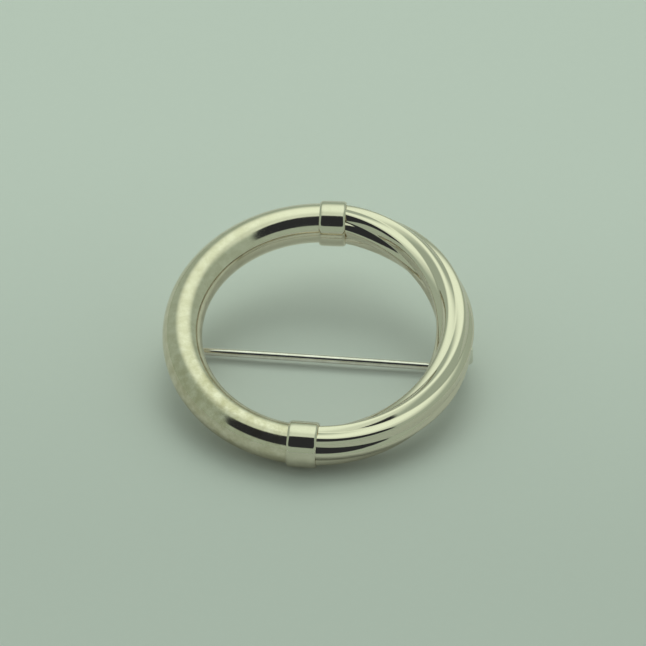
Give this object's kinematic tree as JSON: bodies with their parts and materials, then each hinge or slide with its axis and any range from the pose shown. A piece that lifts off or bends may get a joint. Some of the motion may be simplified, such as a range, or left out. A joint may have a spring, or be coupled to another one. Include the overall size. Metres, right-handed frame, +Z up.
{
  "type": "fluted circle brooch",
  "caption": "Round metal brooch whose ring is half plain tube and half twisted fluted tube, with plain bands over the joints and a hinged pin and catch behind.",
  "frame": {"origin": "middle of the ring's outline on the table, under the lowest points", "axes": "+X runs along the pin from the hinge to the catch, with the fluted half at +X, +Y runs from the bottom band to the top band, +Z is up from the table. The brooch lies on its back on hinge, catch and bottom band, so the ring's front leans about 13 degrees toward -Y."},
  "size_m": [0.0378, 0.0379, 0.0129],
  "materials": {
    "plain_tube": "polished silver with fine wear and a light haze",
    "fluted_tube": "polished silver, slightly duller in the valleys",
    "band": "polished silver with softened edges",
    "fittings": "drawn silver wire, bright"
  },
  "bodies": {
    "ring": {"plain_half": "plain_tube", "fluted_half": "fluted_tube", "top_band": "band", "bottom_band": "band", "hinge_rivet": "fittings"},
    "pin": {"pin_stem": "fittings"}
  },
  "joints": [
    {"name": "pin_swing", "type": "hinge", "parent": "ring", "child": "pin", "pos_m": [-0.0163, 0.00123, 0.00098], "axis": [0, 0.9756, 0.2194], "range_deg": [0, 80]}
  ]
}
